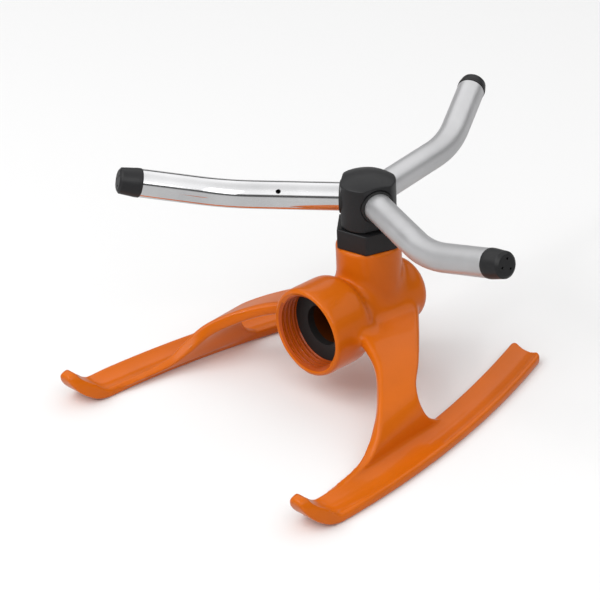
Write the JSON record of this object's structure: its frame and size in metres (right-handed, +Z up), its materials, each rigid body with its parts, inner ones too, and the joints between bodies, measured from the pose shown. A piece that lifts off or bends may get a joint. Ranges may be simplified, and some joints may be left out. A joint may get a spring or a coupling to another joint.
{
  "type": "rotary sprinkler",
  "caption": "Rotary lawn sprinkler: a cast sled base with a threaded hose inlet carries a spinning hub with bent spray arms.",
  "frame": {"origin": "centre of the whole sprinkler's outline, on the ground under it", "axes": "+Z up along the rotor axis, -Y the way the hose inlet faces, +X to the right across the two runners"},
  "size_m": [0.151, 0.174, 0.0826],
  "materials": {
    "cast_paint": "glossy orange enamel",
    "black_plastic": "satin moulded",
    "aluminium": "drawn and polished",
    "rubber": "matte",
    "brass": "turned",
    "steel": "stamped",
    "white_plastic": "matte"
  },
  "bodies": {
    "base": {"base_casting": "cast_paint", "hose_washer": "rubber", "bearing_nut": "black_plastic", "nut_gasket": "rubber", "spindle_seal": "rubber", "dust_washer": "black_plastic", "thrust_washer": "white_plastic"},
    "rotor": {"spindle": "brass", "clip_washer": "steel", "spindle_clip": "steel", "rotor_hub": "black_plastic", "arm_tube_1": "aluminium", "arm_tube_2": "aluminium", "arm_tube_3": "aluminium", "arm_seal_1": "rubber", "arm_seal_2": "rubber", "arm_seal_3": "rubber", "nozzle_cap_1": "black_plastic", "nozzle_cap_2": "black_plastic", "nozzle_cap_3": "black_plastic"}
  },
  "joints": [
    {"name": "rotor_spin", "type": "hinge", "parent": "base", "child": "rotor", "pos_m": [-0.00934, 0.00592, 0.05865], "axis": [0, 0, 1], "continuous": true}
  ]
}
